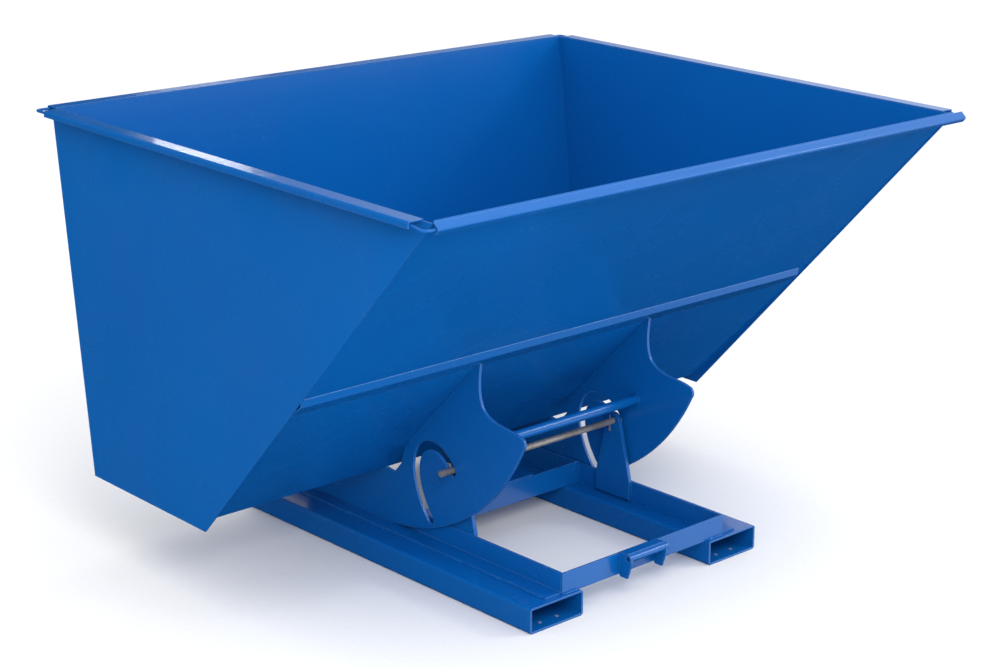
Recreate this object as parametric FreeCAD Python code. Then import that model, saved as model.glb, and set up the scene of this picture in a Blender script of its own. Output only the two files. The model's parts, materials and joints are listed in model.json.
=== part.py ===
import FreeCAD, Part
import math
import os

# Self-dumping hopper for a forklift: a wedge tub on rocker plates that roll along a fork-pocket base.
# Millimetres. +Z up, the tub tips towards -Y, width along X, ground at Z = 0.
# Outlines are drawn with Y = 0 at the mouths of the fork pockets; save() moves the origin
# back to the middle of the footprint.

os.makedirs("parts", exist_ok=True)
V = FreeCAD.Vector

# ---- base frame ----
middle_y = 613.3            # from the pocket mouths back to the middle of the whole hopper
base_length = 1290.0
pocket_width = 203.0        # 8 x 3 inch hollow section
pocket_height = 76.0
pocket_wall = 6.0
pocket_corner = 9.0
pocket_inner_x = 261.0      # inner face of each pocket from the centre plane
leg_outer_x = 331.0         # outer face of each rail's upright leg
rail_leg = 64.0             # 2 1/2 inch angle
rail_thick = 6.0
cross_front_y = 12.0
rail_front_y = cross_front_y + rail_thick
rear_cross_y = 612.0
rear_cross_rise = 6.0       # the rear cross plate stands this much above the rails
end_cross_y = 1258.0
cross_top_z = pocket_height + rail_leg
table_half = 122.0
table_depth = 60.0
table_thick = 6.0
plug_r = 6.0
plug_height = 1.2
plug_y = 34.0
plug_places = (330.0, 396.0)

# ---- roll geometry ----
roll_radius = 670.0
running_gap = 0.3           # daylight between the rocker's edge and the rail, for clean motion
roll_y = 765.0              # roll axis above the end of the flat
rail_top_z = pocket_height + rail_thick
roll_z = rail_top_z + running_gap + roll_radius
roll_travel = 63.0          # degrees
slot_before = 0.6           # the slot runs on past both ends of the travel, degrees
slot_after = 4.4

# ---- axle and posts ----
axle_y = 457.0
axle_z = 323.0
axle_r = 10.0
axle_half = 391.0
axle_chamfer = 1.2
bearing_gap = 0.05
slot_half_width = 14.0
post_thick = 12.0
post_top_r = 27.0
post_foot_front = 382.0
post_foot_rear = 526.0
post_foot_z = rail_top_z
cotter_x = 300.0
cotter_r = 2.25
cotter_length = 44.0
eye_ring_r = 4.0            # eye at the foot of each cotter pin
eye_wire_r = 1.6
eye_drop = 3.5

# ---- tub ----
tub_half = 1011.0           # outer face of each side plate
sheet = 4.8                 # 3/16 inch plate: sides and sloped front
back_sheet = 6.0            # floor and rear wall: keeps the empty tub's centre of mass over the flat
lean_degrees = 0.96         # the tub sits slightly nose-down on its rockers
corner_y = 741.0            # lower front corner of the side plates, the point the lean turns about
corner_z = 227.5
rear_foot_y = 1302.0
rear_top_y = 1450.0
rim_z = 1311.0
nose_y = -216.0             # where the side plates' sloped edge meets the rim
fold_y = 752.0              # fold between the floor and the sloped front
fold_z = 254.0
bend_along = 619.0          # from the corner up the slope to the front's slight bend
bend_inset = 4.0
panel_inset = 2.0

# ---- rim ----
rim_front_width = 25.0      # flange at the top of the sloped front
rim_side_width = 42.0       # flange at the sides and the rear
rim_lip = 18.0
rim_thick = 4.0
rim_bend_r = 6.0            # outside radius of the fold between flange and lip
rim_side_front = 39.0       # side rims stop this far behind the nose
rim_side_rear = 24.0        # and this far in front of the rear wall's top
rim_rear_half = 1000.0      # the rear rim stops short of the corners too, so the rod shows
rim_front_left_x = -1008.0
rim_front_right_x = 1046.0
rod_r = 4.0
rod_bend = 14.0
rod_level_run = 62.0        # from the front corners back to where the rod runs level

# ---- rockers and cross tube ----
rocker_inner_x = 337.0
rocker_thick = 8.0
rocker_rear_y = 1120.0
rocker_tail = 26.0          # the rear edge slopes back by this much
rocker_tail_rise = 40.0
cross_tube_y = 384.0
cross_tube_z = 405.0
cross_tube_r = 15.0
cross_tube_wall = 3.0

# ---- stiffener across the sloped front ----
stiff_low = 586.0           # feet and ridge, measured up the slope
stiff_high = 672.0
stiff_ridge = 650.0
stiff_height = 8.0
stiff_thick = 3.0
stiff_right_x = 970.0       # its right end stops short of the side plate

# ---- front bracket ----
bracket_left_x = -107.0
bracket_right_x = 41.0
bracket_plate = 6.0
bracket_tube_y = -23.0
bracket_tube_z = 131.0
bracket_tube_r = 11.0
bracket_bore_r = 8.0
cover_thick = 4.0
gusset_nose_y = -35.0

# ---- latch, at the rear ----
latch_pin_y = 1232.0
latch_pin_z = 150.0
latch_pin_r = 6.0
latch_open = 25.0           # degrees the hook swings back to let go
hook_half = 8.0
lug_thick = 6.0
lug_gap = 0.5
lug_x = hook_half + lug_gap
lever_notch_z = 108.0       # the lever swings down through a notch in the frame's end plate
lever_reach = 108.0
lever_rise = 40.0
lever_depth = 16.0
grip_length = 80.0
grip_r = 11.0
grip_rise = 0.33            # radians
bar_y = 1219.0
bar_z = 214.0
bar_r = 8.0
bar_half = 40.0
bar_gap = 1.5               # clearance between the hook and the catch bar
pin_head_thick = 5.0

# ---- plate that marks the roll axis ----
disc_r = 25.0
disc_thick = 2.5


def save(name, shape):
    placed = shape.copy()
    placed.translate(V(0, -middle_y, 0))
    placed.exportStep("parts/" + name + ".step")


def block(x0, x1, y0, y1, z0, z1):
    return Part.makeBox(x1 - x0, y1 - y0, z1 - z0, V(x0, y0, z0))


def slab_x(points, x0, x1):
    """Extrude a closed Y-Z outline from x0 to x1."""
    corners = [V(x0, y, z) for y, z in points]
    face = Part.Face(Part.makePolygon(corners + corners[:1]))
    return face.extrude(V(x1 - x0, 0, 0))


def slab_y(points, y0, y1):
    """Extrude a closed X-Z outline from y0 to y1."""
    corners = [V(x, y0, z) for x, z in points]
    face = Part.Face(Part.makePolygon(corners + corners[:1]))
    return face.extrude(V(0, y1 - y0, 0))


def rod_x(y, z, radius, x0, x1):
    return Part.makeCylinder(radius, x1 - x0, V(x0, y, z), V(1, 0, 0))


def mirrored(shape):
    return shape.mirror(V(0, 0, 0), V(1, 0, 0))


def lean(shape):
    """Turn a tub piece about the side plates' lower corner, nose down."""
    turned = shape.copy()
    turned.rotate(V(0, corner_y, corner_z), V(1, 0, 0), lean_degrees)
    return turned


def meet(p, q, r, s):
    """Point where line p-q crosses line r-s."""
    ux, uy = q[0] - p[0], q[1] - p[1]
    vx, vy = s[0] - r[0], s[1] - r[1]
    t = ((r[0] - p[0]) * vy - (r[1] - p[1]) * vx) / (ux * vy - uy * vx)
    return (p[0] + ux * t, p[1] + uy * t)


def inset(points, depths):
    """Open outline with each side moved to the left of its direction of travel, by its own depth."""
    moved = []
    for a, b, depth in zip(points, points[1:], depths):
        length = math.hypot(b[0] - a[0], b[1] - a[1])
        ny, nz = -(b[1] - a[1]) / length * depth, (b[0] - a[0]) / length * depth
        moved.append(((a[0] + ny, a[1] + nz), (b[0] + ny, b[1] + nz)))
    inner = [moved[0][0]]
    for first, second in zip(moved, moved[1:]):
        inner.append(meet(first[0], first[1], second[0], second[1]))
    inner.append(moved[-1][1])
    return inner


# directions along the side plates' sloped edge (up) and square to it (outwards)
slope_run = nose_y - corner_y
slope_rise = rim_z - corner_z
slope_length = math.hypot(slope_run, slope_rise)
up_y, up_z = slope_run / slope_length, slope_rise / slope_length
out_y, out_z = -up_z, up_y


def on_slope(along, outward):
    """Y, Z of a point given along the sloped edge and outwards from it."""
    return (corner_y + up_y * along + out_y * outward, corner_z + up_z * along + out_z * outward)


# ---- tub sheets ----
side_top_z = rim_z - rim_thick
nose_top = meet(on_slope(0, 0), on_slope(slope_length, 0), (0, side_top_z), (1, side_top_z))
tail_top = meet((rear_foot_y, corner_z), (rear_top_y, rim_z), (0, side_top_z), (1, side_top_z))
side_outline = [(corner_y, corner_z), (rear_foot_y, corner_z), tail_top, nose_top]
side_left = slab_x(side_outline, -tub_half, -tub_half + sheet)

panel_bend = on_slope(bend_along, -bend_inset)
panel_top = meet(on_slope(0, -panel_inset), on_slope(slope_length, -panel_inset), (0, rim_z), (1, rim_z))
wall_foot = meet((rear_foot_y, corner_z), (rear_top_y, rim_z), (0, fold_z), (1, fold_z))
shell_outer = [panel_top, panel_bend, (fold_y, fold_z), wall_foot, tail_top]
shell_names = ["front_panel_upper", "front_panel_lower", "tub_floor", "tub_rear_wall"]
shell_sheets = [sheet, sheet, back_sheet, back_sheet]
shell_inner = inset(shell_outer, shell_sheets)
inner_half = tub_half - sheet
shell_pieces = {}
for index, name in enumerate(shell_names):
    outline = [shell_outer[index], shell_outer[index + 1], shell_inner[index + 1], shell_inner[index]]
    shell_pieces[name] = slab_x(outline, -inner_half, inner_half)

# everything the tub fills, used to trim the pieces welded under it
tub_envelope = lean(slab_x(shell_outer, -inner_half, inner_half))

# stiffener: a shallow ridge of bent strip
foot_low = meet(panel_bend, (fold_y, fold_z), on_slope(stiff_low, 0), on_slope(stiff_low, 1))
foot_high = meet(panel_top, panel_bend, on_slope(stiff_high, 0), on_slope(stiff_high, 1))
ridge = on_slope(stiff_ridge, stiff_height)
strip_outer = [foot_high, ridge, foot_low]
strip_inner = inset(strip_outer, [stiff_thick, stiff_thick])
inner_high = meet(strip_inner[0], strip_inner[1], panel_top, panel_bend)
inner_low = meet(strip_inner[1], strip_inner[2], panel_bend, (fold_y, fold_z))
stiffener = slab_x([foot_high, ridge, foot_low, inner_low, strip_inner[1], inner_high],
                   -inner_half, stiff_right_x)


# ---- rim: folded flange and lip, cut back at the corners where the rod shows ----
def round_bend(shape, corner, radius):
    """Round the long edge of a rim that passes through this corner of its profile.

    The corner is (X, Z) for a rim that runs along Y and (Y, Z) for one that runs along X.
    """
    runs_along_y = shape.BoundBox.YLength > shape.BoundBox.XLength
    picked = []
    for edge in shape.Edges:
        middle = edge.CenterOfMass
        place = (middle.x, middle.z) if runs_along_y else (middle.y, middle.z)
        if math.hypot(place[0] - corner[0], place[1] - corner[1]) < 0.01:
            picked.append(edge)
    return shape.makeFillet(radius, picked)


outer_x = tub_half + rim_side_width
rear_outer_y = rear_top_y + rim_side_width
side_rim_y0 = nose_top[0] + rim_side_front
side_rim_y1 = rear_top_y - rim_side_rear
lip_low_z = rim_z - rim_lip
bend_inner_r = rim_bend_r - rim_thick
side_profile = [(-outer_x, lip_low_z), (-outer_x, rim_z), (-inner_half, rim_z), (-inner_half, side_top_z),
                (-outer_x + rim_thick, side_top_z), (-outer_x + rim_thick, lip_low_z)]
rim_left = slab_y(side_profile, side_rim_y0, side_rim_y1)
rim_left = round_bend(rim_left, (-outer_x, rim_z), rim_bend_r)
rim_left = round_bend(rim_left, (-outer_x + rim_thick, side_top_z), bend_inner_r)

rear_inner_y = tail_top[0] - back_sheet
rear_profile = [(rear_inner_y, side_top_z), (rear_inner_y, rim_z), (rear_outer_y, rim_z),
                (rear_outer_y, lip_low_z), (rear_outer_y - rim_thick, lip_low_z),
                (rear_outer_y - rim_thick, side_top_z)]
rim_rear = slab_x(rear_profile, -rim_rear_half, rim_rear_half)
rim_rear = round_bend(rim_rear, (rear_outer_y, rim_z), rim_bend_r)
rim_rear = round_bend(rim_rear, (rear_outer_y - rim_thick, side_top_z), bend_inner_r)
shell_pieces["tub_rear_wall"] = shell_pieces["tub_rear_wall"].cut(rim_rear)


def off_panel(outward, down):
    """Point measured from the top edge of the sloped front."""
    return (panel_top[0] + out_y * outward - up_y * down, panel_top[1] + out_z * outward - up_z * down)


front_inner = rim_front_width - rim_thick
front_profile = [off_panel(0, 0), off_panel(rim_front_width, 0), off_panel(rim_front_width, rim_lip),
                 off_panel(front_inner, rim_lip), off_panel(front_inner, rim_thick), off_panel(0, rim_thick)]
rim_front = slab_x(front_profile, rim_front_left_x, rim_front_right_x)
rim_front = round_bend(rim_front, off_panel(rim_front_width, 0), rim_bend_r)
rim_front = round_bend(rim_front, off_panel(front_inner, rim_thick), bend_inner_r)
rim_front = rim_front.cut(side_left).cut(mirrored(side_left))

# the rod sits in the corner between flange and lip all the way round
rod_clear = rim_thick + rod_r + 1.0
rod_side_x = outer_x - rod_clear
rod_z = rim_z - rod_clear
rod_rear_y = rear_outer_y - rod_clear
rod_front = off_panel(rim_front_width - rod_clear, rod_clear)
rod_drop_y = rod_front[0] + rod_level_run


def rounded_path(corners, radius):
    """Straight runs through the corners, each corner turned with an arc."""
    edges = []
    start = corners[0]
    for before, corner, after in zip(corners, corners[1:], corners[2:]):
        inward = (before - corner).normalize()
        onward = (after - corner).normalize()
        half = inward.getAngle(onward) / 2.0
        reach = radius / math.tan(half)
        first = corner + inward * reach
        last = corner + onward * reach
        middle = inward + onward
        middle.normalize()
        centre = corner + middle * (radius / math.sin(half))
        crest = centre - middle * radius
        edges.append(Part.makeLine(start, first))
        edges.append(Part.Arc(first, crest, last).toShape())
        start = last
    edges.append(Part.makeLine(start, corners[-1]))
    return Part.Wire(edges)


rod_corners = [V(0.1, rod_rear_y, rod_z), V(rod_side_x, rod_rear_y, rod_z), V(rod_side_x, rod_drop_y, rod_z),
               V(rod_side_x, rod_front[0], rod_front[1]), V(-rod_side_x, rod_front[0], rod_front[1]),
               V(-rod_side_x, rod_drop_y, rod_z), V(-rod_side_x, rod_rear_y, rod_z),
               V(-0.1, rod_rear_y, rod_z)]
rod_path = rounded_path(rod_corners, rod_bend)
rod_start = Part.Wire(Part.makeCircle(rod_r, rod_corners[0], V(1, 0, 0)))
rim_rod = rod_path.makePipeShell([rod_start], True, False)

# ---- rocker plates ----
flat_z = rail_top_z + running_gap


def rim_point(angle):
    """Point on the rolling edge, angle forward of straight down from the roll axis."""
    turn = math.radians(angle)
    return V(0, roll_y - roll_radius * math.sin(turn), roll_z - roll_radius * math.cos(turn))


def slot_point(angle, sideways):
    """Where the fixed axle sits in the plate after a roll of this angle, moved square to its path."""
    def centre(turn):
        ahead = roll_y - axle_y - roll_radius * turn
        below = roll_z - axle_z
        forward = ahead * math.cos(turn) + below * math.sin(turn)
        rise = ahead * math.sin(turn) - below * math.cos(turn)
        return V(0, roll_y - forward, roll_z + rise)

    turn = math.radians(angle)
    travel = centre(turn + 0.001) - centre(turn - 0.001)
    travel.normalize()
    return centre(turn) + V(0, -travel.z, travel.y) * sideways


tip_angle = 64.6
front_edge = [V(0, 338, 700), V(0, 343, 632), V(0, 342, 583), V(0, 326, 542), V(0, 292, 520),
              V(0, 237, 509), V(0, 172, 498)]
rocker_top_y = 760.0        # a point inside the tub: the plate is trimmed to the tub's underside
rocker_top_z = 760.0
rocker_back_z = 330.0
front_curve = Part.BSplineCurve()
front_curve.interpolate(front_edge)
nose_arc = Part.Arc(front_edge[-1], V(0, 156, 486), rim_point(tip_angle))
roll_arc = Part.Arc(rim_point(tip_angle), rim_point(tip_angle / 2), rim_point(0))
flat_end = V(0, rocker_rear_y, flat_z)
tail_low = V(0, rocker_rear_y + rocker_tail, flat_z + rocker_tail_rise)
tail_high = V(0, rocker_rear_y + rocker_tail, rocker_back_z)
rocker_top = V(0, rocker_top_y, rocker_top_z)
rocker_edges = [front_curve.toShape(), nose_arc.toShape(), roll_arc.toShape(),
                Part.makeLine(rim_point(0), flat_end),
                Part.makeLine(flat_end, tail_low), Part.makeLine(tail_low, tail_high),
                Part.makeLine(tail_high, rocker_top), Part.makeLine(rocker_top, front_edge[0])]
rocker = Part.Face(Part.Wire(rocker_edges)).extrude(V(rocker_thick, 0, 0))
rocker.translate(V(rocker_inner_x, 0, 0))
rocker = rocker.cut(tub_envelope)

slot_steps = 14
slot_from, slot_to = -slot_before, roll_travel + slot_after
angles = [slot_from + (slot_to - slot_from) * k / slot_steps for k in range(slot_steps + 1)]
outer_side = Part.BSplineCurve()
outer_side.interpolate([slot_point(a, slot_half_width) for a in angles])
inner_side = Part.BSplineCurve()
inner_side.interpolate([slot_point(a, -slot_half_width) for a in angles])


def slot_cap(angle, step):
    """Half circle that closes the slot beyond this angle."""
    beyond = slot_point(angle, 0) - slot_point(angle - step, 0)
    beyond.normalize()
    crest = slot_point(angle, 0) + beyond * slot_half_width
    return Part.Arc(slot_point(angle, slot_half_width), crest, slot_point(angle, -slot_half_width)).toShape()


slot_wire = Part.Wire(Part.__sortEdges__([outer_side.toShape(), slot_cap(slot_to, 0.1),
                                          inner_side.toShape(), slot_cap(slot_from, -0.1)]))
slot_tool = Part.Face(slot_wire).extrude(V(rocker_thick + 20, 0, 0))
slot_tool.translate(V(rocker_inner_x - 10, 0, 0))
notch_outline = [(fold_y, fold_z + 12), (fold_y, fold_z - 2), (717, 247), (684, 284), (668, 340), (700, 340)]
weld_notch = slab_x(notch_outline, rocker_inner_x - 5, rocker_inner_x + rocker_thick + 5)
rocker = rocker.cut(slot_tool).cut(weld_notch).cut(lean(stiffener))

tube_outer = rod_x(cross_tube_y, cross_tube_z, cross_tube_r, -rocker_inner_x, rocker_inner_x)
tube_bore = rod_x(cross_tube_y, cross_tube_z, cross_tube_r - cross_tube_wall, -rocker_inner_x - 1,
                  rocker_inner_x + 1)
cross_tube = tube_outer.cut(tube_bore)

# ---- catch under the floor ----
catch_lug = slab_x([(bar_y - 18, bar_z - 14), (bar_y + 18, bar_z - 14), (bar_y + 26, 300), (bar_y - 26, 300)],
                   bar_half, bar_half + lug_thick)
catch_lug = catch_lug.cut(tub_envelope)
catch_lugs = Part.makeCompound([catch_lug, mirrored(catch_lug)])
catch_bar = rod_x(bar_y, bar_z, bar_r, -bar_half, bar_half)


def solids_below(shape, height):
    """Keep only the solids whose centre lies below this height."""
    kept = [solid for solid in shape.Solids if solid.CenterOfMass.z < height]
    return kept[0] if len(kept) == 1 else Part.makeCompound(kept)


catch_lugs = solids_below(catch_lugs, 255.0)
rocker = solids_below(rocker, 500.0)

# ---- base ----
def rounded_box(x0, x1, z0, z1, corner, y0, y1):
    body = block(x0, x1, y0, y1, z0, z1)
    along = [edge for edge in body.Edges if abs(edge.tangentAt(edge.FirstParameter).y) > 0.9]
    return body.makeFillet(corner, along)


pocket_outer_x = pocket_inner_x + pocket_width
pocket = rounded_box(pocket_inner_x, pocket_outer_x, 0, pocket_height, pocket_corner, 0, base_length)
pocket_bore = rounded_box(pocket_inner_x + pocket_wall, pocket_outer_x - pocket_wall, pocket_wall,
                          pocket_height - pocket_wall, pocket_corner - pocket_wall, -1, base_length + 1)
pocket = pocket.cut(pocket_bore)

leg_inner_x = leg_outer_x - rail_thick
rail_outline = [(leg_inner_x, pocket_height), (leg_inner_x + rail_leg, pocket_height),
                (leg_inner_x + rail_leg, rail_top_z), (leg_outer_x, rail_top_z),
                (leg_outer_x, cross_top_z), (leg_inner_x, cross_top_z)]
rail = slab_y(rail_outline, rail_front_y, base_length)

front_cross = block(-leg_outer_x, leg_outer_x, cross_front_y, rail_front_y, pocket_height, cross_top_z)
rear_cross = block(-leg_inner_x, leg_inner_x, rear_cross_y, rear_cross_y + rail_thick,
                   pocket_height, cross_top_z + rear_cross_rise)
end_cross = block(-leg_inner_x, leg_inner_x, end_cross_y, end_cross_y + rail_thick,
                  pocket_height, cross_top_z)
lever_notch = block(-lug_x, lug_x, end_cross_y - 1, end_cross_y + rail_thick + 1,
                    lever_notch_z, cross_top_z + 1)
end_cross = end_cross.cut(lever_notch)
table_z = cross_top_z + rear_cross_rise
cable_table = block(-table_half, table_half, rear_cross_y, rear_cross_y + table_depth, table_z,
                    table_z + table_thick)

# plug welds in the pocket floors, a pair near each mouth
plugs = []
for x in plug_places:
    for side in (-1, 1):
        plugs.append(Part.makeCylinder(plug_r, plug_height, V(side * x, plug_y, pocket_wall)))
plug_welds = Part.makeCompound(plugs)


def post_shape():
    """Tapered plate with a round head about the axle."""
    head = V(0, axle_y, axle_z)

    def tangent(foot, side):
        """Point where a line from the foot touches the head."""
        offset = foot - head
        distance = offset.Length
        base_angle = math.atan2(offset.z, offset.y)
        turn = math.acos(post_top_r / distance)
        angle = base_angle + side * turn
        return head + V(0, math.cos(angle), math.sin(angle)) * post_top_r

    foot_front = V(0, post_foot_front, cross_top_z)
    foot_rear = V(0, post_foot_rear, cross_top_z)
    top_front, top_rear = tangent(foot_front, -1), tangent(foot_rear, 1)
    arc = Part.Arc(top_front, head + V(0, 0, post_top_r), top_rear)
    ground_front, ground_rear = V(0, post_foot_front, post_foot_z), V(0, post_foot_rear, post_foot_z)
    edges = [Part.makeLine(foot_front, top_front), arc.toShape(), Part.makeLine(top_rear, foot_rear),
             Part.makeLine(foot_rear, ground_rear), Part.makeLine(ground_rear, ground_front),
             Part.makeLine(ground_front, foot_front)]
    plate = Part.Face(Part.Wire(edges)).extrude(V(post_thick, 0, 0))
    plate.translate(V(leg_inner_x - post_thick, 0, 0))
    bearing = rod_x(axle_y, axle_z, axle_r + bearing_gap, leg_inner_x - post_thick - 1, leg_inner_x + 1)
    return plate.cut(bearing)


post = post_shape()

# front bracket: two gussets, a cover plate and an open tube
gusset_foot_z = pocket_height - 6.0
gusset_outline = [(cross_front_y, cross_top_z), (cross_front_y, pocket_height + 2.0),
                  (cross_front_y - 5.0, gusset_foot_z), (gusset_nose_y + 15.0, gusset_foot_z),
                  (gusset_nose_y, bracket_tube_z - 14.0), (gusset_nose_y, bracket_tube_z + 4.0),
                  (bracket_tube_y, bracket_tube_z + bracket_tube_r)]
tube_hole = rod_x(bracket_tube_y, bracket_tube_z, bracket_tube_r, bracket_left_x - 5, bracket_right_x + 20)
gusset_left = slab_x(gusset_outline, bracket_left_x, bracket_left_x + bracket_plate).cut(tube_hole)
gusset_right = slab_x(gusset_outline, bracket_right_x - bracket_plate, bracket_right_x).cut(tube_hole)
bracket_gussets = Part.makeCompound([gusset_left, gusset_right])
bracket_tube = rod_x(bracket_tube_y, bracket_tube_z, bracket_tube_r, bracket_left_x - 2, bracket_right_x + 8)
bracket_tube = bracket_tube.cut(rod_x(bracket_tube_y, bracket_tube_z, bracket_bore_r, bracket_left_x - 5,
                                      bracket_right_x + 12))
cover_outline = [(cross_front_y, cross_top_z), (cross_front_y, cross_top_z + cover_thick),
                 (bracket_tube_y, bracket_tube_z + bracket_tube_r + cover_thick),
                 (bracket_tube_y, bracket_tube_z + bracket_tube_r)]
bracket_cover = slab_x(cover_outline, bracket_left_x, bracket_right_x)
bracket_cover = bracket_cover.cut(tube_hole).cut(bracket_gussets)

# ---- axle and its cotter pins ----
axle = rod_x(axle_y, axle_z, axle_r, -axle_half, axle_half)
end_edges = [edge for edge in axle.Edges if edge.Curve.TypeId == "Part::GeomCircle"]
axle = axle.makeChamfer(axle_chamfer, end_edges)
cotters = []
for side in (-1, 1):
    low = V(side * cotter_x, axle_y, axle_z - cotter_length / 2)
    shank = Part.makeCylinder(cotter_r, cotter_length, low)
    axle = axle.cut(shank)
    eye = Part.makeTorus(eye_ring_r, eye_wire_r, low - V(0, 0, eye_drop), V(1, 0, 0))
    cotters.append(shank.fuse(eye).removeSplitter())
axle_cotters = Part.makeCompound(cotters)

# ---- latch: hook on a pin between two lugs of the rear frame ----
latch_lug = slab_x([(end_cross_y, pocket_height + 10), (end_cross_y, latch_pin_z + 12),
                    (latch_pin_y + 8, latch_pin_z + 18), (latch_pin_y - 14, latch_pin_z + 14),
                    (latch_pin_y - 18, latch_pin_z - 10), (latch_pin_y, pocket_height + 10)],
                   lug_x, lug_x + lug_thick)
latch_hole = rod_x(latch_pin_y, latch_pin_z, latch_pin_r, -60, 60)
latch_lug = latch_lug.cut(latch_hole)
latch_lugs = Part.makeCompound([latch_lug, mirrored(latch_lug)])
pin_half = lug_x + lug_thick + 4.0
latch_pin = rod_x(latch_pin_y, latch_pin_z, latch_pin_r, -pin_half, pin_half)
pin_head = rod_x(latch_pin_y, latch_pin_z, latch_pin_r + 4.0, pin_half, pin_half + pin_head_thick)
latch_pin = latch_pin.fuse(pin_head).removeSplitter()

throat_z = bar_z + bar_r + bar_gap
shank_y = bar_y + bar_r + bar_gap
hook_outline = [(latch_pin_y - 16, latch_pin_z - 12), (latch_pin_y + 16, latch_pin_z - 16),
                (latch_pin_y + 20, latch_pin_z + 6), (shank_y + 22, bar_z), (shank_y + 20, throat_z + 14),
                (bar_y - 8, throat_z + 16), (bar_y - 10, throat_z), (shank_y, throat_z),
                (shank_y, bar_z - 20), (latch_pin_y - 16, latch_pin_z + 12)]
hook_plate = slab_x(hook_outline, -hook_half, hook_half)
arm_y = latch_pin_y + lever_reach
arm_low_z = latch_pin_z + lever_rise
arm_outline = [(latch_pin_y + 14, latch_pin_z - 14), (arm_y, arm_low_z), (arm_y, arm_low_z + lever_depth),
               (latch_pin_y + 18, latch_pin_z + 4)]
hook_arm = slab_x(arm_outline, -hook_half, hook_half)
hook = hook_plate.fuse(hook_arm).removeSplitter()
hook = hook.cut(rod_x(latch_pin_y, latch_pin_z, latch_pin_r + bearing_gap, -20, 20))
grip_way = V(0, math.cos(grip_rise), math.sin(grip_rise))
grip = Part.makeCylinder(grip_r, grip_length, V(0, arm_y - 30, latch_pin_z + 37), grip_way).cut(hook)

latch_axis = V(0, latch_pin_y, latch_pin_z)
for piece in (hook, grip):
    piece.rotate(latch_axis, V(1, 0, 0), -latch_open)

# ---- disc on the roll axis ----
axis_disc = rod_x(roll_y, roll_z, disc_r, tub_half + running_gap, tub_half + running_gap + disc_thick)

# ---- write every piece ----
tub_pieces = {"tub_side_left": side_left, "tub_side_right": mirrored(side_left),
              "panel_stiffener": stiffener, "rim_left": rim_left, "rim_right": mirrored(rim_left),
              "rim_front": rim_front, "rim_rear": rim_rear, "rim_rod": rim_rod}
tub_pieces.update(shell_pieces)
for name, shape in tub_pieces.items():
    save(name, lean(shape))

save("rocker_left", mirrored(rocker))
save("rocker_right", rocker)
save("rocker_cross_tube", cross_tube)
save("catch_lugs", catch_lugs)
save("catch_bar", catch_bar)
save("fork_pocket_left", mirrored(pocket))
save("fork_pocket_right", pocket)
save("rail_angle_left", mirrored(rail))
save("rail_angle_right", rail)
save("front_cross_plate", front_cross)
save("rear_cross_plate", rear_cross)
save("end_cross_plate", end_cross)
save("cable_table", cable_table)
save("pocket_plug_welds", plug_welds)
save("post_left", mirrored(post))
save("post_right", post)
save("bracket_gussets", bracket_gussets)
save("bracket_cover", bracket_cover)
save("bracket_tube", bracket_tube)
save("axle", axle)
save("axle_cotters", axle_cotters)
save("latch_lugs", latch_lugs)
save("latch_pin", latch_pin)
save("latch_hook", hook)
save("latch_grip", grip)
save("roll_axis_disc", axis_disc)
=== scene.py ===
import bmesh
import bpy
import json
import math
from mathutils import Matrix, Vector


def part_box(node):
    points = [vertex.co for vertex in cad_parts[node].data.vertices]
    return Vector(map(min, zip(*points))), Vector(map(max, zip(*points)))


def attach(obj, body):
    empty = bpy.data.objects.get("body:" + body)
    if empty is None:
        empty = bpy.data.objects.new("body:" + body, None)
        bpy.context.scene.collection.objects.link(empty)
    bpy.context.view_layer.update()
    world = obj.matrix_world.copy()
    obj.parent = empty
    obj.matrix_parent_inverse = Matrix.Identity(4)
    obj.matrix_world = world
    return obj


# Looks for the self-dumping hopper. Metres, +Z up, the tub tips towards -Y.
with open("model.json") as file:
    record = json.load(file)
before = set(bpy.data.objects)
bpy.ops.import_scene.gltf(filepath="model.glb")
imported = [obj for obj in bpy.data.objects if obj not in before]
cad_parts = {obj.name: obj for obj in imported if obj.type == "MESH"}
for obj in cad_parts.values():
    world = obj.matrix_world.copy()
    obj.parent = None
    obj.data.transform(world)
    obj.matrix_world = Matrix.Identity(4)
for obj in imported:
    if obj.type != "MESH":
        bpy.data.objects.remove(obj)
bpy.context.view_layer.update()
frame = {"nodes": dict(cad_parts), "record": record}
nodes = frame["nodes"]
bodies = frame["record"]["behaviour"]["bodies"]
scene = bpy.context.scene


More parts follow.
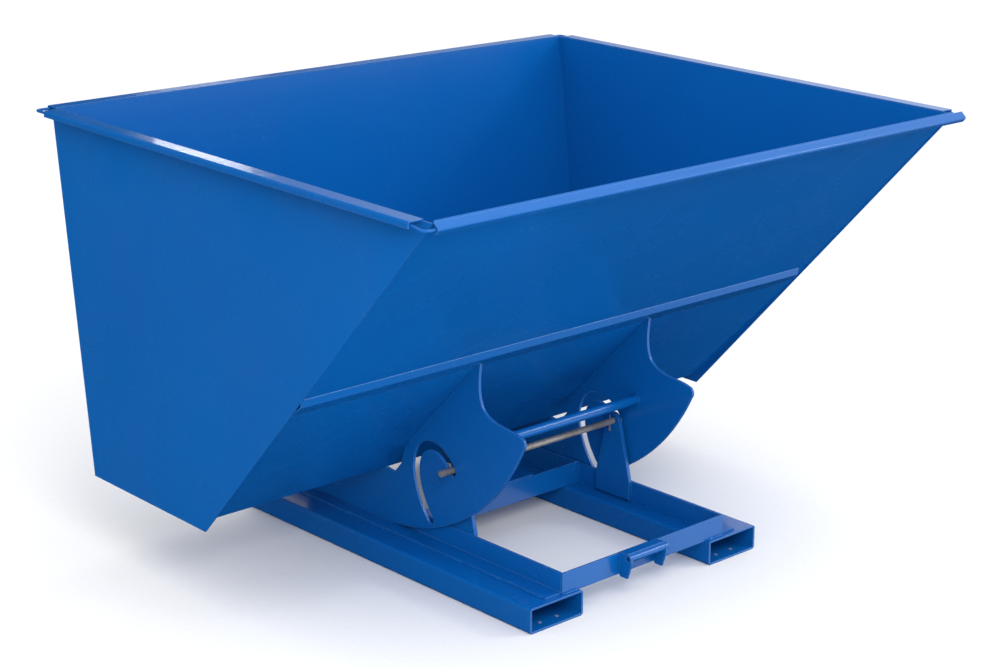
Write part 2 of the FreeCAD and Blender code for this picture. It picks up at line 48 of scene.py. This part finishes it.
# ---------------------------------------------------------------- materials
class Tree:
    """Short names for building one node material."""

    def __init__(self, name):
        self.material = bpy.data.materials.new(name)
        self.material.use_nodes = True
        self.tree = self.material.node_tree
        self.tree.nodes.clear()
        self.output = self.add("ShaderNodeOutputMaterial")
        self.shader = self.add("ShaderNodeBsdfPrincipled")
        self.link(self.shader.outputs["BSDF"], self.output.inputs["Surface"])
        self.place = self.add("ShaderNodeTexCoord").outputs["Object"]

    def add(self, kind, **settings):
        node = self.tree.nodes.new(kind)
        for key, value in settings.items():
            setattr(node, key, value)
        return node

    def link(self, source, target):
        self.tree.links.new(source, target)

    def stretched(self, x, y, z):
        """Object coordinates scaled on each axis."""
        node = self.add("ShaderNodeMapping")
        node.inputs["Scale"].default_value = (x, y, z)
        self.link(self.place, node.inputs["Vector"])
        return node.outputs["Vector"]

    def noise(self, scale, detail=2.0, rough=0.5, coords=None):
        node = self.add("ShaderNodeTexNoise")
        node.inputs["Scale"].default_value = scale
        node.inputs["Detail"].default_value = detail
        node.inputs["Roughness"].default_value = rough
        self.link(coords or self.place, node.inputs["Vector"])
        return node.outputs["Fac"]

    def spread(self, source, low, high, to_low, to_high):
        """Map a value from low..high to to_low..to_high, clamped."""
        node = self.add("ShaderNodeMapRange")
        node.inputs["From Min"].default_value = low
        node.inputs["From Max"].default_value = high
        node.inputs["To Min"].default_value = to_low
        node.inputs["To Max"].default_value = to_high
        self.link(source, node.inputs["Value"])
        return node.outputs["Result"]

    def math(self, operation, a, b):
        node = self.add("ShaderNodeMath", operation=operation)
        for socket, value in zip(node.inputs, (a, b)):
            if isinstance(value, (int, float)):
                socket.default_value = value
            else:
                self.link(value, socket)
        return node.outputs["Value"]

    def mix(self, factor, a, b):
        """Mix two colours, each a tuple or a socket."""
        node = self.add("ShaderNodeMix", data_type="RGBA")
        self.link(factor, node.inputs[0])
        for socket, value in ((node.inputs[6], a), (node.inputs[7], b)):
            if isinstance(value, tuple):
                socket.default_value = (*value, 1.0)
            else:
                self.link(value, socket)
        return node.outputs[2]

    def rounded(self, radius):
        """Normal rounded over sharp edges, and how near an edge each point is, 0 to 1."""
        soft = self.add("ShaderNodeBevel", samples=6)
        soft.inputs["Radius"].default_value = radius
        true = self.add("ShaderNodeNewGeometry").outputs["Normal"]
        turned = self.add("ShaderNodeVectorMath", operation="DOT_PRODUCT")
        self.link(soft.outputs["Normal"], turned.inputs[0])
        self.link(true, turned.inputs[1])
        near = self.spread(turned.outputs["Value"], 1.0, 0.72, 0.0, 1.0)
        return soft.outputs["Normal"], near

    def bump(self, height, distance, strength, normal=None):
        node = self.add("ShaderNodeBump")
        node.inputs["Strength"].default_value = strength
        node.inputs["Distance"].default_value = distance
        self.link(height, node.inputs["Height"])
        if normal is not None:
            self.link(normal, node.inputs["Normal"])
        return node.outputs["Normal"]

    def set(self, **values):
        for key, value in values.items():
            self.shader.inputs[key.replace("_", " ")].default_value = value


PAINT_EDGE_RADIUS = 0.0022
SPECKLE_AMOUNT = 0.35
SHEET_WAVE_DEPTH = 0.010
PEEL_DEPTH = 0.00025
PAINT_SPECULAR = 0.42
COAT_AMOUNT = 0.25


def paint(name, tone, deep, highlight_tone, highlight_amount, sheet_wave, shine):
    """Glossy enamel over rolled sheet: orange peel, slow waves in the sheet, edges lightened as a painted
    highlight, faint scuffs.
    """
    t = Tree(name)
    soft, near_edge = t.rounded(PAINT_EDGE_RADIUS)
    cloud = t.spread(t.noise(1.7, 3.0), 0.35, 0.65, 0.0, 1.0)
    speckle = t.spread(t.noise(260.0, 2.0), 0.3, 0.7, 0.0, 1.0)
    colour = t.mix(cloud, tone, deep)
    lighter = tuple(min(1.0, c * 1.10 + 0.004) for c in tone)
    colour = t.mix(t.math("MULTIPLY", speckle, SPECKLE_AMOUNT), colour, lighter)
    # Painted highlight: the paint is lightened toward the edge tone near sharp edges, patchy along them.
    painted_edge_highlight = t.math("MULTIPLY", near_edge, t.spread(t.noise(22.0, 4.0), 0.3, 0.6, 0.55, 1.0))
    colour = t.mix(t.math("MULTIPLY", painted_edge_highlight, highlight_amount), colour, highlight_tone)
    t.link(colour, t.shader.inputs["Base Color"])

    scuffs = t.noise(30.0, 6.0, 0.65, t.stretched(1.0, 1.0, 7.0))
    scuffs = t.spread(scuffs, 0.62, 0.76, 0.0, 0.05)
    haze = t.spread(t.noise(3.2, 4.0), 0.3, 0.7, 0.20, 0.33)
    t.link(t.math("ADD", haze, scuffs), t.shader.inputs["Roughness"])

    wave = t.bump(t.noise(4.2, 1.0), SHEET_WAVE_DEPTH, sheet_wave, soft)
    peel = t.bump(t.noise(420.0, 2.0), PEEL_DEPTH, 0.10, wave)
    t.link(peel, t.shader.inputs["Normal"])
    coat = t.bump(t.noise(190.0, 1.0), PEEL_DEPTH, 0.05, wave)
    t.link(coat, t.shader.inputs["Coat Normal"])
    t.set(Specular_IOR_Level=PAINT_SPECULAR * shine, Coat_Weight=COAT_AMOUNT * shine)
    t.set(Coat_Roughness=0.06, Coat_IOR=1.45)
    return t.material


STEEL_EDGE_RADIUS = 0.0012
DRAWN_LINE_DEPTH = 0.0002


def bright_steel(name, tone, dull, rust, along, rough_low, rough_high, metal):
    """Bare or plated round bar: fine drawn lines along it, dull patches and a little rust."""
    t = Tree(name)
    soft, near_edge = t.rounded(STEEL_EDGE_RADIUS)
    lines = t.noise(1.0, 3.0, 0.6, t.stretched(*along))
    patches = t.spread(t.noise(16.0, 5.0), 0.40, 0.62, 0.0, 1.0)
    specks = t.spread(t.noise(95.0, 4.0, 0.6), 0.58, 0.70, 0.0, 0.75)
    colour = t.mix(patches, tone, dull)
    colour = t.mix(specks, colour, rust)
    # Painted highlight: the bar is lighter near its edges.
    colour = t.mix(t.math("MULTIPLY", near_edge, 0.5), colour, tuple(min(1.0, c * 1.35) for c in tone))
    t.link(colour, t.shader.inputs["Base Color"])
    rough = t.spread(lines, 0.3, 0.7, rough_low, rough_high)
    t.link(t.math("ADD", rough, t.math("MULTIPLY", specks, 0.25)), t.shader.inputs["Roughness"])
    t.link(t.bump(lines, DRAWN_LINE_DEPTH, 0.35, soft), t.shader.inputs["Normal"])
    t.set(Metallic=metal, Specular_IOR_Level=0.5)
    return t.material


GRIP_EDGE_RADIUS = 0.002
PEBBLES_PER_METRE = 620.0
PEBBLE_DEPTH = 0.0003


def moulded_grip(name):
    """Black vinyl grip with a fine pebbled skin."""
    t = Tree(name)
    soft, near_edge = t.rounded(GRIP_EDGE_RADIUS)
    cells = t.add("ShaderNodeTexVoronoi")
    cells.inputs["Scale"].default_value = PEBBLES_PER_METRE
    t.link(t.place, cells.inputs["Vector"])
    cloud = t.spread(t.noise(40.0, 3.0), 0.3, 0.7, 0.0, 1.0)
    colour = t.mix(cloud, (0.012, 0.012, 0.013), (0.028, 0.027, 0.026))
    # Painted highlight: the grip is lighter grey near its edges.
    colour = t.mix(t.math("MULTIPLY", near_edge, 0.4), colour, (0.08, 0.08, 0.08))
    t.link(colour, t.shader.inputs["Base Color"])
    t.link(t.spread(cells.outputs["Distance"], 0.0, 0.6, 0.42, 0.62), t.shader.inputs["Roughness"])
    t.link(t.bump(cells.outputs["Distance"], PEBBLE_DEPTH, 0.5, soft), t.shader.inputs["Normal"])
    return t.material


# Paints differ in how strong the painted highlight on their edges is, how wavy the sheet is and how much
# they shine.
BLUE = (0.0012, 0.112, 0.412)
BLUE_DEEP = (0.0010, 0.102, 0.388)
# Colour of the painted highlight along the edges.
EDGE_HIGHLIGHT_BLUE = (0.20, 0.36, 0.72)
tub_paint = paint("tub_paint", BLUE, BLUE_DEEP, EDGE_HIGHLIGHT_BLUE, 0.22, 0.05, 0.45)
rim_paint = paint("rim_paint", BLUE, BLUE_DEEP, EDGE_HIGHLIGHT_BLUE, 0.90, 0.03, 0.8)
frame_paint = paint("frame_paint", BLUE, BLUE_DEEP, EDGE_HIGHLIGHT_BLUE, 0.60, 0.03, 1.0)
bead_paint = paint("bead_paint", BLUE, BLUE_DEEP, EDGE_HIGHLIGHT_BLUE, 0.15, 0.02, 0.6)
axle_metal = bright_steel("axle_metal", (0.40, 0.38, 0.35), (0.27, 0.26, 0.24), (0.20, 0.12, 0.07),
                          (6.0, 900.0, 900.0), 0.30, 0.46, 0.45)
pin_metal = bright_steel("pin_metal", (0.62, 0.62, 0.60), (0.45, 0.45, 0.44), (0.30, 0.24, 0.18),
                         (700.0, 700.0, 30.0), 0.22, 0.36, 0.7)
plug_metal = bright_steel("plug_metal", (0.26, 0.36, 0.58), (0.14, 0.24, 0.45), (0.20, 0.20, 0.24),
                          (300.0, 300.0, 300.0), 0.25, 0.40, 0.2)
grip_skin = moulded_grip("grip_skin")

finish_of_slot = {"axle_steel": axle_metal, "plated_steel": pin_metal, "bare_weld": plug_metal,
                  "black_grip": grip_skin}
for name, node in nodes.items():
    body_paint = tub_paint if name in bodies["tub"] else frame_paint
    if name.startswith(("rim_", "rocker_", "panel_stiffener")):
        body_paint = rim_paint
    slot = node.data.materials[0].name.split(".")[0]
    node.data.materials[0] = finish_of_slot.get(slot, body_paint)

# ---------------------------------------------------------------- weld beads
BEAD = 0.005                # leg of a fillet weld
SIDE_BEAD = 0.0042          # leg of the weld along the side plates
SMALL_BEAD = 0.004          # leg of the welds on the bracket and on the rails' tops
BEAD_SINK = 0.12            # the bead's root lies this share of its leg inside the corner
BEAD_TAPER = 0.22           # how fast a bead grows from its ends, per ring
RIPPLE = 0.0045             # spacing of the ripples
RINGS_PER_RIPPLE = 2
BEAD_SIDES = 5


def bead_mesh(mesh, start, end, side_a, side_b, leg=BEAD, phase=0.0):
    """One fillet weld from start to end. side_a and side_b point from the corner along the two plates."""
    run = end - start
    count = max(2, int(run.length / RIPPLE * RINGS_PER_RIPPLE))
    a, b = side_a.normalized(), side_b.normalized()
    rings = []
    for k in range(count + 1):
        share = k / count
        ripple = 0.90 + 0.10 * abs(math.sin(math.pi * k / RINGS_PER_RIPPLE + 0.7 + phase))
        slow = 0.06 * math.sin(share * run.length * 41.0 + phase)
        fast = 0.04 * math.sin(share * run.length * 97.0)
        drift = 1.0 + slow + fast
        tail = min(1.0, 0.35 + min(k, count - k) * BEAD_TAPER)
        size = leg * ripple * drift * tail
        centre = start + run * share
        ring = [mesh.verts.new(centre - (a + b) * leg * BEAD_SINK)]
        for i in range(BEAD_SIDES):
            turn = math.pi / 2 * i / (BEAD_SIDES - 1)
            bulge = 0.80 + 0.12 * math.sin(2 * turn)
            out = a * math.cos(turn) + b * math.sin(turn)
            ring.append(mesh.verts.new(centre + out * size * bulge * 1.15))
        rings.append(ring)
    for first, second in zip(rings, rings[1:]):
        for i in range(len(first)):
            j = (i + 1) % len(first)
            mesh.faces.new((first[i], first[j], second[j], second[i]))
    mesh.faces.new(list(reversed(rings[0])))
    mesh.faces.new(rings[-1])


def make_piece(name, mesh, body, material):
    bmesh.ops.recalc_face_normals(mesh, faces=mesh.faces)
    data = bpy.data.meshes.new(name)
    mesh.to_mesh(data)
    mesh.free()
    for polygon in data.polygons:
        polygon.use_smooth = True
    data.materials.append(material)
    piece = bpy.data.objects.new(name, data)
    scene.collection.objects.link(piece)
    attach(piece, body)
    return piece


INSIDE_TUB = Vector((0.1, 0.85))     # Y, Z of a point inside the tub


def outer_line(name):
    """The two ends (Y, Z) of a sheet's outer face, lower end first, read from the CAD node."""
    low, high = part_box(name)
    corners = []
    for vertex in nodes[name].data.vertices:
        if vertex.co.x < low.x + 1e-5:
            point = Vector((vertex.co.y, vertex.co.z))
            if all((point - other).length > 1e-4 for other in corners):
                corners.append(point)
    middle = sum(corners, Vector((0.0, 0.0))) / len(corners)
    corners.sort(key=lambda p: math.atan2(p.y - middle.y, p.x - middle.x))
    sides = [(corners[i - 1], corners[i]) for i in range(len(corners))]
    sides.sort(key=lambda s: -(s[0] - s[1]).length)
    outer = max(sides[:2], key=lambda s: ((s[0] + s[1]) / 2 - INSIDE_TUB).length)
    return sorted(outer, key=lambda p: p.y)


X = Vector((1.0, 0.0, 0.0))
Y = Vector((0.0, 1.0, 0.0))
Z = Vector((0.0, 0.0, 1.0))


def at(x, point):
    return Vector((x, point.x, point.y))


FOLD_CLEAR = 0.004          # the lower side weld stops this far from the folds at its ends
RIM_CLEAR = 0.05            # the upper one stops below the rim
ROCKER_WELD_FROM = 0.135    # along the sloped front, from the fold up
ROCKER_WELD_TO = 0.555
FLOOR_WELD_FROM = 0.02      # along the floor, from the fold back
ROCKER_END_CLEAR = 0.006

tub_beads = bmesh.new()
fold_line = outer_line("front_panel_lower")
upper_line = outer_line("front_panel_upper")
floor_line = sorted(outer_line("tub_floor"), key=lambda p: p.x)
rocker_low, rocker_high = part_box("rocker_right")
side_inner_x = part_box("tub_side_right")[0].x
panel_way = (fold_line[1] - fold_line[0]).normalized()
panel_out = Vector((-panel_way.y, panel_way.x))
floor_way = (floor_line[1] - floor_line[0]).normalized()

for side in (-1.0, 1.0):
    # sloped front and floor to the side plates, on the outside
    for line, lift in ((fold_line, FOLD_CLEAR), (upper_line, RIM_CLEAR)):
        way = (line[1] - line[0]).normalized()
        out = Vector((-way.y, way.x))
        bead_mesh(tub_beads, at(side * side_inner_x, line[0] + way * lift),
                  at(side * side_inner_x, line[1] - way * lift), -X * side, at(0.0, out), SIDE_BEAD, side)
    # rocker plates to the sloped front and to the floor, both faces
    for face_x, away in ((rocker_low.x, -1.0), (rocker_high.x, 1.0)):
        start = fold_line[0] + panel_way * ROCKER_WELD_FROM
        end = fold_line[0] + panel_way * ROCKER_WELD_TO
        bead_mesh(tub_beads, at(side * face_x, start), at(side * face_x, end), X * side * away,
                  at(0.0, panel_out), BEAD, face_x * 9)
        start = floor_line[0] + floor_way * FLOOR_WELD_FROM
        end = floor_line[0] + floor_way * (rocker_high.y - floor_line[0].x - ROCKER_END_CLEAR)
        bead_mesh(tub_beads, at(side * face_x, start), at(side * face_x, end), X * side * away,
                  at(0.0, Vector((floor_way.y, -floor_way.x))), BEAD, face_x * 7)
make_piece("weld_beads_tub", tub_beads, "tub", bead_paint)


RING_STEPS = 72
RING_SINK = 0.0006          # the ring weld starts this far inside the bar and the plate


def ring_bead(mesh, centre, radius, side_x, leg):
    """Weld round a bar or tube where it meets a plate. side_x points along the bar, away from the plate."""
    rings = []
    for k in range(RING_STEPS):
        angle = 2 * math.pi * k / RING_STEPS
        out = Y * math.cos(angle) + Z * math.sin(angle)
        size = leg * (0.9 + 0.1 * abs(math.sin(k * 1.4)))
        base = centre + out * (radius - RING_SINK)
        ring = [mesh.verts.new(base - X * side_x * RING_SINK)]
        for i in range(BEAD_SIDES):
            turn = math.pi / 2 * i / (BEAD_SIDES - 1)
            bulge = 0.80 + 0.12 * math.sin(2 * turn)
            away = out * math.cos(turn) + X * side_x * math.sin(turn)
            ring.append(mesh.verts.new(base + away * size * bulge))
        rings.append(ring)
    for k in range(RING_STEPS):
        first, second = rings[k], rings[(k + 1) % RING_STEPS]
        for i in range(len(first)):
            j = (i + 1) % len(first)
            mesh.faces.new((first[i], first[j], second[j], second[i]))


tube_beads = bmesh.new()
tube_low, tube_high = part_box("rocker_cross_tube")
tube_middle = (tube_low + tube_high) / 2
tube_radius = (tube_high.z - tube_low.z) / 2
for side in (-1.0, 1.0):
    tube_end = Vector((side * tube_high.x, tube_middle.y, tube_middle.z))
    ring_bead(tube_beads, tube_end, tube_radius, -side, BEAD)
make_piece("weld_beads_cross_tube", tube_beads, "tub", bead_paint)

STITCHES = 7                # stitch welds along each leg of a rail
STITCH_LENGTH = 0.075
STITCH_FROM = 0.02          # the first outer stitch starts this far from the rail's front end
STITCH_STAGGER = 0.05       # the inner stitches start this much further back than the outer ones
STITCH_SPARE = 0.10         # length of rail left without stitches
PLATE_FOOT_CLEAR = 0.004
PLATE_TOP_CLEAR = 0.002
POST_FOOT_CLEAR = 0.003
POCKET_CORNER = 0.006       # the pocket's rounded corner, where nothing is welded

base_beads = bmesh.new()
rail_low, rail_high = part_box("rail_angle_right")
post_low, post_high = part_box("post_right")
front_low, front_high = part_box("front_cross_plate")
rear_low, rear_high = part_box("rear_cross_plate")
end_low, end_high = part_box("end_cross_plate")
pocket_low, pocket_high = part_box("fork_pocket_right")
for side in (-1.0, 1.0):
    # rail to pocket: stitch welds along the flat leg, and along the upright leg's inner face
    span = (rail_high.y - rail_low.y - STITCH_SPARE) / STITCHES
    for k in range(STITCHES):
        outer_y = rail_low.y + STITCH_FROM + span * k
        inner_y = outer_y + STITCH_STAGGER
        bead_mesh(base_beads, Vector((side * rail_high.x, outer_y, pocket_high.z)),
                  Vector((side * rail_high.x, outer_y + STITCH_LENGTH, pocket_high.z)),
                  X * side, Z, BEAD, k)
        bead_mesh(base_beads, Vector((side * rail_low.x, inner_y, pocket_high.z)),
                  Vector((side * rail_low.x, inner_y + STITCH_LENGTH, pocket_high.z)),
                  -X * side, Z, BEAD, k + 3)
    # cross plates to rails
    for plate_low, plate_high, faces in ((rear_low, rear_high, (-1.0, 1.0)), (end_low, end_high, (-1.0,))):
        for face in faces:
            y = plate_low.y if face < 0 else plate_high.y
            bead_mesh(base_beads, Vector((side * rail_low.x, y, pocket_high.z + PLATE_FOOT_CLEAR)),
                      Vector((side * rail_low.x, y, rail_high.z - PLATE_TOP_CLEAR)),
                      -X * side, Y * face, BEAD, face)
    bead_mesh(base_beads, Vector((side * rail_low.x, front_high.y, pocket_high.z + PLATE_FOOT_CLEAR)),
              Vector((side * rail_low.x, front_high.y, front_high.z - PLATE_TOP_CLEAR)),
              -X * side, Y, BEAD, 2.0)
    bead_mesh(base_beads, Vector((side * (pocket_low.x + POCKET_CORNER), front_low.y, pocket_high.z)),
              Vector((side * (front_high.x - PLATE_TOP_CLEAR), front_low.y, pocket_high.z)),
              -Y, Z, BEAD, 5.0)
    # posts to the rails' upright legs, at their front and rear edges and along the leg's top
    for y, away in ((post_low.y, -1.0), (post_high.y, 1.0)):
        bead_mesh(base_beads, Vector((side * rail_low.x, y, post_low.z + POST_FOOT_CLEAR)),
                  Vector((side * rail_low.x, y, rail_high.z - PLATE_TOP_CLEAR)),
                  Y * away, -X * side, BEAD, away)
    bead_mesh(base_beads, Vector((side * post_high.x, post_low.y + PLATE_FOOT_CLEAR, rail_high.z)),
              Vector((side * post_high.x, post_high.y - PLATE_FOOT_CLEAR, rail_high.z)),
              X * side, Z, SMALL_BEAD, 1.0)
make_piece("weld_beads_base", base_beads, "base", bead_paint)

GUSSET_FOOT_CLEAR = 0.012
GUSSET_TOP_CLEAR = 0.004

bracket_beads = bmesh.new()
gusset_low, gusset_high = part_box("bracket_gussets")
for x, away in ((gusset_low.x, -1.0), (gusset_high.x, 1.0)):
    bead_mesh(bracket_beads, Vector((x, front_low.y, gusset_low.z + GUSSET_FOOT_CLEAR)),
              Vector((x, front_low.y, front_high.z - GUSSET_TOP_CLEAR)), X * away, -Y, SMALL_BEAD, away)
make_piece("weld_beads_bracket", bracket_beads, "base", bead_paint)

# ---------------------------------------------------------------- floor, light, camera
FLOOR_HALF = 30.0
FLOOR_CELLS = 8
FLOOR_Z = -0.0005
floor_mesh = bmesh.new()
floor_steps = [(i / FLOOR_CELLS * 2 - 1) * FLOOR_HALF for i in range(FLOOR_CELLS + 1)]
for x in floor_steps:
    for y in floor_steps:
        floor_mesh.verts.new((x, y, FLOOR_Z))
floor_mesh.verts.ensure_lookup_table()
for i in range(FLOOR_CELLS):
    for j in range(FLOOR_CELLS):
        first = i * (FLOOR_CELLS + 1) + j
        floor_mesh.faces.new([floor_mesh.verts[k] for k in (first, first + FLOOR_CELLS + 1,
                                                            first + FLOOR_CELLS + 2, first + 1)])
floor_data = bpy.data.meshes.new("studio_floor")
floor_mesh.to_mesh(floor_data)
floor_mesh.free()
floor_tree = Tree("studio_floor")
floor_grain = floor_tree.spread(floor_tree.noise(60.0, 4.0), 0.3, 0.7, 0.0, 1.0)
# The camera sees a nearly white floor, while the floor throws less light up onto the hopper.
seen = floor_tree.add("ShaderNodeLightPath").outputs["Is Camera Ray"]
floor_pale = floor_tree.mix(floor_grain, (0.95, 0.95, 0.95), (0.98, 0.98, 0.98))
floor_colour = floor_tree.mix(seen, (0.66, 0.66, 0.66), floor_pale)
floor_tree.link(floor_colour, floor_tree.shader.inputs["Base Color"])
floor_tree.set(Roughness=0.9, Specular_IOR_Level=0.1)
floor_data.materials.append(floor_tree.material)
floor = bpy.data.objects.new("studio_floor", floor_data)
scene.collection.objects.link(floor)
floor.visible_glossy = False

world = bpy.data.worlds.new("studio_world")
world.use_nodes = True
backdrop = world.node_tree.nodes["Background"]
backdrop.inputs["Color"].default_value = (1.0, 1.0, 1.0, 1.0)
# Reflections see a studio that is bright to the upper right and dark elsewhere.
BRIGHT_SIDE = (0.80, -0.27, 0.48)
DIFFUSE_LIGHT = 1.08
REFLECTED_LIGHT = 1.15
shades = world.node_tree.nodes
wires = world.node_tree.links
facing = shades.new("ShaderNodeVectorMath")
facing.operation = "DOT_PRODUCT"
facing.inputs[1].default_value = BRIGHT_SIDE
wires.new(shades.new("ShaderNodeTexCoord").outputs["Generated"], facing.inputs[0])
glow = shades.new("ShaderNodeMapRange")
glow.interpolation_type = "SMOOTHSTEP"
glow.inputs["From Min"].default_value = 0.30
glow.inputs["From Max"].default_value = 0.58
glow.inputs["To Max"].default_value = REFLECTED_LIGHT
wires.new(facing.outputs["Value"], glow.inputs["Value"])
chosen = shades.new("ShaderNodeMix")
chosen.inputs[2].default_value = DIFFUSE_LIGHT
wires.new(shades.new("ShaderNodeLightPath").outputs["Is Glossy Ray"], chosen.inputs[0])
wires.new(glow.outputs["Result"], chosen.inputs[3])
wires.new(chosen.outputs[0], backdrop.inputs["Strength"])
scene.world = world
scene.view_settings.view_transform = "Standard"


def softbox(name, place, target, width, height, watts, reflected=True):
    """Area light at place, facing target."""
    data = bpy.data.lights.new(name, "AREA")
    data.shape = "RECTANGLE"
    data.size = width
    data.size_y = height
    data.energy = watts
    lamp = bpy.data.objects.new(name, data)
    scene.collection.objects.link(lamp)
    lamp.location = place
    way = Vector(target) - Vector(place)
    lamp.rotation_mode = "QUATERNION"
    lamp.rotation_quaternion = way.to_track_quat("-Z", "Y")
    lamp.visible_glossy = reflected


softbox("front_light", (-2.4, -3.9, 3.3), (-0.2, -0.3, 0.1), 2.2, 2.2, 110.0, reflected=False)
softbox("right_light", (3.4, -3.4, 2.6), (0.3, -0.5, 0.1), 2.0, 2.0, 30.0, reflected=False)
softbox("top_light", (0.0, 0.6, 6.5), (0.0, 0.2, 0.0), 4.0, 4.0, 15.0, reflected=False)
softbox("rim_light", (2.14, 4.58, 2.62), (-1.03, 0.02, 1.31), 0.5, 0.2, 2.6)
# A small lamp in front on the right, seen as thin highlights along the folds and round bars.
softbox("edge_light", (3.3, -3.0, 2.9), (0.0, -0.2, 0.6), 0.5, 0.5, 18.0)

# Camera: yaw is turned from +Y towards +X, pitch is downwards, and there is a little roll.
YAW = math.radians(42.707)
PITCH = math.radians(16.853)
ROLL = math.radians(0.35)
LENS = 77.765
STAND = (-4.2029, -4.5351, 2.5034)
look = Vector((math.sin(YAW) * math.cos(PITCH), math.cos(YAW) * math.cos(PITCH), -math.sin(PITCH)))
level = Vector((math.cos(YAW), -math.sin(YAW), 0.0))
upright = level.cross(look)
right = level * math.cos(ROLL) + upright * math.sin(ROLL)
up = upright * math.cos(ROLL) - level * math.sin(ROLL)
camera_data = bpy.data.cameras.new("camera")
camera_data.sensor_width = 36.0
camera_data.lens = LENS
camera = bpy.data.objects.new("camera", camera_data)
scene.collection.objects.link(camera)
camera.matrix_world = Matrix.Translation(STAND) @ Matrix(
    ((right.x, up.x, -look.x, 0.0), (right.y, up.y, -look.y, 0.0), (right.z, up.z, -look.z, 0.0),
     (0.0, 0.0, 0.0, 1.0)))
camera_data.clip_start = 0.1
camera_data.clip_end = 200.0
bpy.context.scene.camera = camera
